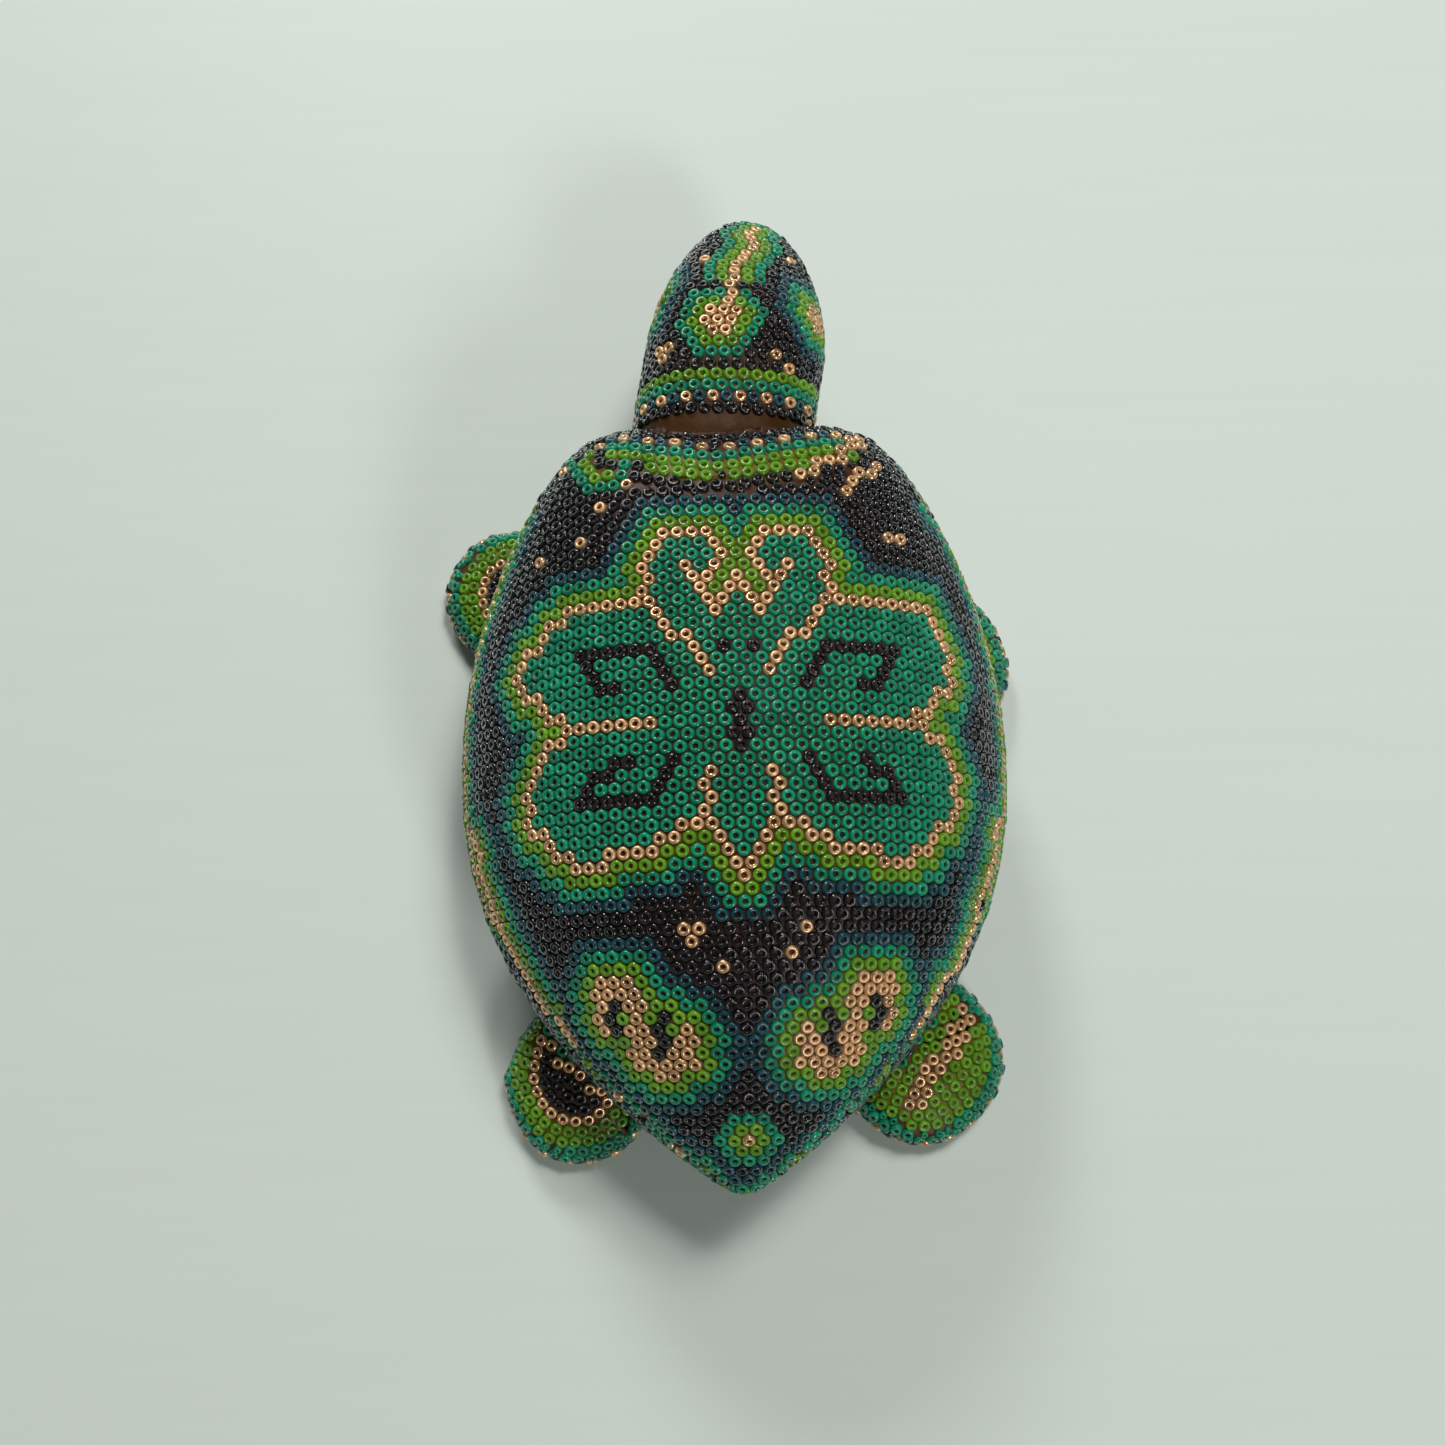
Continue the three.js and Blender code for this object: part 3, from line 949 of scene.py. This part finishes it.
def string_pieces(context, form, node_of, seed):
    """One piece for each colour in each coat."""
    size, dice, groups = Size(context.scene.turtle), random.Random(seed), {}
    for s in workshop["sites"][form]:
        groups.setdefault((node_of(s), s.colour), []).append(s)
    for node, colour in sorted(groups):
        name = node.replace("_beads", "") + "_" + colour + "_beads"
        points, faces, attributes = string_of(groups[node, colour], size, dice)
        piece = make_piece(name, points, faces, attributes, workshop["finishes"][colour])
        hand_over(piece, node)


# ---- settings and operators


def length(name, description, default):
    return FloatProperty(name=name, description=description, default=default, unit="LENGTH", precision=4)


def colour_of(beads, default):
    return FloatVectorProperty(name=beads.split()[0].capitalize(), description="Colour of the " + beads,
                               subtype="COLOR", size=3, default=default)


class TurtleSettings(bpy.types.PropertyGroup):
    bead_width: length("Bead width", "Outside width of a glass bead", 2.2 * MM)
    bead_height: length("Bead height", "Height of a glass bead along its hole", 1.3 * MM)
    hole_width: length("Hole width", "Width of the hole in a bead", 0.6 * MM)
    pitch: length("Bead pitch", "Distance between beads in a row", 2.2 * MM)
    row: length("Row pitch", "Distance between rows of beads", 1.86 * MM)
    wax_depth: length("Wax level", "How far the wax lies below the tops of the beads", 0.62 * MM)
    emerald: colour_of("emerald beads", (0.001, 0.2, 0.1))
    petrol: colour_of("petrol blue beads", (0.003, 0.045, 0.06))
    lime: colour_of("lime beads", (0.17, 0.44, 0.012))
    gold: colour_of("gold beads", (0.9, 0.57, 0.3))
    floor: colour_of("floor", (0.62, 0.68, 0.62))


class TURTLE_OT_finishes(bpy.types.Operator):
    """Mixes the finishes of the glass, the gold, the wax and the wood"""

    bl_idname = "turtle.finishes"
    bl_label = "Mix the finishes"

    def execute(self, context):
        settings = context.scene.turtle
        # the hole colour of gold is reddish copper, partly the bead's own colour and partly painted shade
        black, gold_hole_copper_and_shade = (0.002, 0.002, 0.003), (0.4, 0.06, 0.012)

        def shades(colour, *shares):
            return [tuple(c * share for c in colour) for share in shares]

        # In each glass finish the third share colours the wall of the hole darker, as painted shade in the
        # hole.
        workshop["finishes"] = {
            "emerald": bead_finish("emerald_glass", *shades(settings.emerald, 0.75, 1.3, 0.12),
                                   Roughness=0.16, Coat_Weight=0.35, Coat_Roughness=0.03),
            "petrol": bead_finish("petrol_glass", *shades(settings.petrol, 0.7, 1.35, 0.15),
                                  Roughness=0.18, Coat_Weight=0.6, Coat_Roughness=0.05),
            "black": bead_finish("black_glass", *shades(black, 1, 3, 1),
                                 Roughness=0.1, Coat_Weight=0.8, Coat_Roughness=0.04),
            "lime": bead_finish("lime_glass", *shades(settings.lime, 0.8, 1.25, 0.7), Roughness=0.1,
                                Transmission_Weight=0.45, IOR=1.5, Coat_Weight=0.5, Coat_Roughness=0.04),
            "gold": bead_finish("gold_metal", *shades(settings.gold, 0.88, 1.1), gold_hole_copper_and_shade,
                                Roughness=0.3, Metallic=0.8),
        }
        workshop["wax"] = wax_finish()
        workshop["wood"] = wood_finish()
        return {"FINISHED"}


class TURTLE_OT_bead(bpy.types.Operator):
    """Models the glass bead that all the others are copies of"""

    bl_idname = "turtle.bead"
    bl_label = "Model the bead"

    def execute(self, context):
        settings = context.scene.turtle
        wall = (settings.bead_width - settings.hole_width) / 4
        middle = (settings.bead_width + settings.hole_width) / 4
        deselect()
        scale = 1 / MM  # modelled a thousand times larger, since edit tools work better so
        bpy.ops.mesh.primitive_torus_add(major_segments=12, minor_segments=6, major_radius=middle * scale,
                                         minor_radius=wall * scale, location=(0, 0, 0))
        ring = context.object
        with edit_mode():
            bpy.ops.mesh.select_all(action="SELECT")
            half = max(v.co.z for v in ring.data.vertices)
            bpy.ops.transform.resize(value=(1, 1, settings.bead_height * scale / 2 / half))
            bpy.ops.mesh.normals_make_consistent(inside=False)
        shape = np.array([v.co for v in ring.data.vertices], float)
        faces = np.array([p.vertices[:] for p in ring.data.polygons], int)
        # the wall of the hole, which the finishes paint darker as painted shade
        innermost = (middle - wall * 0.8) * scale
        hole_shade_mask = (np.hypot(shape[:, 0], shape[:, 1]) < innermost).astype(float)
        workshop["bead"] = (shape, faces, hole_shade_mask)
        bpy.data.objects.remove(ring)
        return {"FINISHED"}


class TURTLE_OT_layout(bpy.types.Operator):
    """Finds a place and a colour for every bead"""

    bl_idname = "turtle.layout"
    bl_label = "Lay out the beads"

    def execute(self, context):
        size = Size(context.scene.turtle)
        dice = random.Random(11)
        body = workshop["body"] = Skin(BODY_NODES, ["shell_wax", "belly_wax", "body_core"])
        head = workshop["head"] = Skin(["head_beads"], ["head_wax", "head_core"])
        for name in FLIPPERS:
            limb = name + "_flipper"
            workshop[name] = Skin([limb + "_beads"], [limb + "_wax", limb + "_core"])
        crowd = Crowd()

        def off_limbs(place):
            return all(workshop[name].covers(place) > OFF_OTHERS for name in ("head",) + FLIPPERS)

        def off_body(place):
            return body.covers(place) > OFF_OTHERS

        def before_slot(place):
            return off_body(place) and place.y > NECK_SLOT

        shell = collar_sites(body, size, crowd) + dome_sites(body, size, crowd)
        shell += rim_sites(body, size, crowd, off_limbs)
        added = fill_gaps(body, shell, "rim", size, crowd, off_limbs, dice)
        for s in added:
            if s.normal.z > STEEP:
                s.part = "dome"
        shell += added
        belly = belly_sites(body, size, crowd, off_limbs)
        settle(body, shell, size)
        colour_shell(shell, size)
        colour_belly(belly)
        on_head = head_sites(head, size, crowd, off_body)
        on_head += fill_gaps(head, on_head, "head", size, crowd, before_slot, dice)
        settle(head, on_head, size)
        colour_head(on_head, size)
        workshop["sites"] = {"body": shell + belly, "head": on_head}
        for name in FLIPPERS:
            skin = workshop[name]
            found = flipper_sites(skin, name, size, crowd, off_body)
            found += fill_gaps(skin, found, name, size, crowd, off_body, dice)
            settle(skin, found, size)
            colour_flipper(found, name)
            workshop["sites"][name] = found
        return {"FINISHED"}


def close_seams(mesh):
    """Brings the two edges of each hairline seam between bead coats together, so that the wax has none."""
    for axis, lower, upper in ((1, "shell_tail_beads", "shell_flower_beads"),
                               (1, "shell_flower_beads", "shell_collar_beads"),
                               (2, "shell_rim_beads", "shell_flower_beads")):
        level = (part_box(lower)[1][axis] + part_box(upper)[0][axis]) / 2
        for vertex in mesh.vertices:
            if abs(vertex.co[axis] - level) < SEAM_REACH * MM:
                vertex.co[axis] = level


def face_key(corners, unit=1):
    """A face's corners, rounded and in an order that doesn't depend on where the face starts."""
    return tuple(sorted(tuple(round(value / unit, 2) for value in corner) for corner in corners))


def wax_coat(name, nodes, skin, sites, depth):
    """A coat of wax under some of the beads: their skin, sunk to the wax's level and given a thickness."""
    deselect()
    copies = []
    for node in nodes:
        copy = bpy.data.objects.new(name + "_part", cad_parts[node].data.copy())
        bpy.context.scene.collection.objects.link(copy)
        copies.append(copy)
    for copy in copies:
        copy.select_set(True)
    bpy.context.view_layer.objects.active = copies[0]
    if len(copies) > 1:
        bpy.ops.object.join()
    coat = bpy.context.view_layer.objects.active
    coat.name = name + "_wax_coat"
    with edit_mode():
        bpy.ops.mesh.select_all(action="SELECT")
        bpy.ops.mesh.remove_doubles(threshold=0.002 * MM)
        bpy.ops.mesh.select_all(action="DESELECT")
    wanted = {face_key([skin.points[i] for i in face]) for face in skin.faces}
    for face in coat.data.polygons:
        face.select = face_key([coat.data.vertices[i].co for i in face.vertices], MM) not in wanted
    with edit_mode():
        bpy.ops.mesh.select_mode(type="FACE")
        bpy.ops.mesh.delete(type="FACE")
    close_seams(coat.data)
    with edit_mode():
        bpy.ops.mesh.select_all(action="SELECT")
        bpy.ops.mesh.remove_doubles(threshold=WAX_MERGE * MM)
        bpy.ops.mesh.dissolve_degenerate(threshold=WAX_SLIVER * MM)
        bpy.ops.mesh.subdivide(number_cuts=3)
    for vertex in coat.data.vertices:
        place, normal, _ = skin.nearest(vertex.co / MM)
        vertex.co = place * MM - normal * depth
        vertex.co.z = max(vertex.co.z, depth * 0.8)  # the wax stays off the floor
    outer = len(coat.data.vertices)
    wall = coat.modifiers.new("wall", "SOLIDIFY")
    wall.thickness = WAX_WALL * MM
    wall.offset = -1
    bpy.ops.object.modifier_apply(modifier=wall.name)
    for vertex in coat.data.vertices[outer:]:
        vertex.co.z = max(vertex.co.z, depth * 1.4)
    bpy.ops.object.shade_smooth()
    tree = tree_of([s.place * MM for s in sites])
    honey = np.zeros(len(coat.data.vertices))
    beads = 4  # the beads around a point that give the wax its colour there
    for v in coat.data.vertices:
        honey[v.index] = sum(sites[i].colour == "lime" for _, i, _ in tree.find_n(v.co, beads)) / beads
        # in the slot the wax gets mostly the dark brown, partly painted shade in the slot
        if name == "head" and v.co.y < (NECK_SLOT + 0.6) * MM:
            honey[v.index] = SLOT_HONEY
    coat.data.attributes.new("honey", "FLOAT", "POINT").data.foreach_set("value", honey.astype(np.float32))
    coat.data.materials.clear()
    coat.data.materials.append(workshop["wax"])
    hand_over(coat, name + "_wax")


class TURTLE_OT_wax(bpy.types.Operator):
    """Spreads the wax that the beads are pressed into"""

    bl_idname = "turtle.wax"
    bl_label = "Spread the wax"

    def execute(self, context):
        forms = [("shell", SHELL_NODES, "body"), ("belly", ["belly_beads"], "body"),
                 ("head", ["head_beads"], "head")]
        forms += [(name + "_flipper", [name + "_flipper_beads"], name) for name in FLIPPERS]
        for name, nodes, form in forms:
            wax_coat(name, nodes, workshop[form], workshop["sites"][form], context.scene.turtle.wax_depth)
        return {"FINISHED"}


class TURTLE_OT_wood(bpy.types.Operator):
    """Gives the carved wooden cores their grain"""

    bl_idname = "turtle.wood"
    bl_label = "Finish the wood"

    def execute(self, context):
        for name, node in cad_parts.items():
            if name.endswith("_core"):
                node.data.materials.clear()
                node.data.materials.append(workshop["wood"])
        return {"FINISHED"}


class TURTLE_OT_shell_beads(bpy.types.Operator):
    """Presses the beads into the shell and the belly"""

    bl_idname = "turtle.shell_beads"
    bl_label = "Bead the shell"

    def execute(self, context):
        string_pieces(context, "body", lambda s: workshop["body"].owner(s.place), 3)
        return {"FINISHED"}


class TURTLE_OT_head_beads(bpy.types.Operator):
    """Presses the beads into the head"""

    bl_idname = "turtle.head_beads"
    bl_label = "Bead the head"

    def execute(self, context):
        string_pieces(context, "head", lambda s: "head_beads", 5)
        return {"FINISHED"}


class TURTLE_OT_flipper_beads(bpy.types.Operator):
    """Presses the beads into the four flippers"""

    bl_idname = "turtle.flipper_beads"
    bl_label = "Bead the flippers"

    def execute(self, context):
        for name in FLIPPERS:
            string_pieces(context, name, lambda s: name + "_flipper_beads", 7)
        return {"FINISHED"}


class TURTLE_OT_stage(bpy.types.Operator):
    """Sets up the floor, the lights and the camera"""

    bl_idname = "turtle.stage"
    bl_label = "Set the stage"

    def execute(self, context):
        deselect()
        bpy.ops.mesh.primitive_plane_add(size=4, location=(0, 0, -0.0002))
        floor = context.object
        floor.name = "floor"
        floor.data.materials.append(floor_finish(context.scene.turtle.floor))
        for name, where, width, power in LAMPS:
            lamp = bpy.data.lights.new(name, "AREA")
            lamp.shape = "SQUARE"
            lamp.size = width
            lamp.energy = power
            holder = bpy.data.objects.new(name, lamp)
            holder.location = where
            holder.visible_glossy = name != "overhead"  # the large lamp would haze the glass
            holder.rotation_euler = Vector(where).to_track_quat("Z", "Y").to_euler()
            context.scene.collection.objects.link(holder)
        world = bpy.data.worlds.new("room")
        world.use_nodes = True
        room = world.node_tree.nodes["Background"]
        room.inputs["Color"].default_value = ROOM_COLOUR
        room.inputs["Strength"].default_value = ROOM_LIGHT
        context.scene.world = world
        context.scene.view_settings.view_transform = "Standard"
        camera = bpy.data.cameras.new("camera")
        camera.sensor_width = SENSOR
        camera.lens = LENS
        camera.clip_start = 0.01
        eye = bpy.data.objects.new("camera", camera)
        tilt, turn = math.radians(CAMERA_TILT), math.radians(CAMERA_TURN)
        away = Vector((CAMERA_SIDE, -math.sin(tilt) * CAMERA_DISTANCE, math.cos(tilt) * CAMERA_DISTANCE))
        eye.rotation_euler = (tilt, 0, turn)
        eye.location = (Matrix.Rotation(turn, 3, "Z") @ away + Vector((0, 0, CAMERA_LEVEL))) * MM
        context.scene.collection.objects.link(eye)
        context.scene.camera = eye
        return {"FINISHED"}


OPERATORS = (TURTLE_OT_finishes, TURTLE_OT_bead, TURTLE_OT_layout, TURTLE_OT_wax, TURTLE_OT_wood,
             TURTLE_OT_shell_beads, TURTLE_OT_head_beads, TURTLE_OT_flipper_beads, TURTLE_OT_stage)


class TURTLE_PT_panel(bpy.types.Panel):
    """The steps of making the turtle, in order"""

    bl_idname = "TURTLE_PT_panel"
    bl_label = "Beaded turtle"
    bl_space_type = "VIEW_3D"
    bl_region_type = "UI"
    bl_category = "Turtle"

    def draw(self, context):
        settings = context.scene.turtle
        for name in TurtleSettings.__annotations__:
            self.layout.prop(settings, name)
        for operator in OPERATORS:
            self.layout.operator(operator.bl_idname)


def register():
    for c in (TurtleSettings, *OPERATORS, TURTLE_PT_panel):
        bpy.utils.register_class(c)
    bpy.types.Scene.turtle = PointerProperty(type=TurtleSettings)


def unregister():
    del bpy.types.Scene.turtle
    for c in reversed((TurtleSettings, *OPERATORS, TURTLE_PT_panel)):
        bpy.utils.unregister_class(c)


def main():
    register()
    for operator in OPERATORS:
        getattr(bpy.ops.turtle, operator.bl_idname.split(".")[1])()


if __name__ == "__main__":
    main()
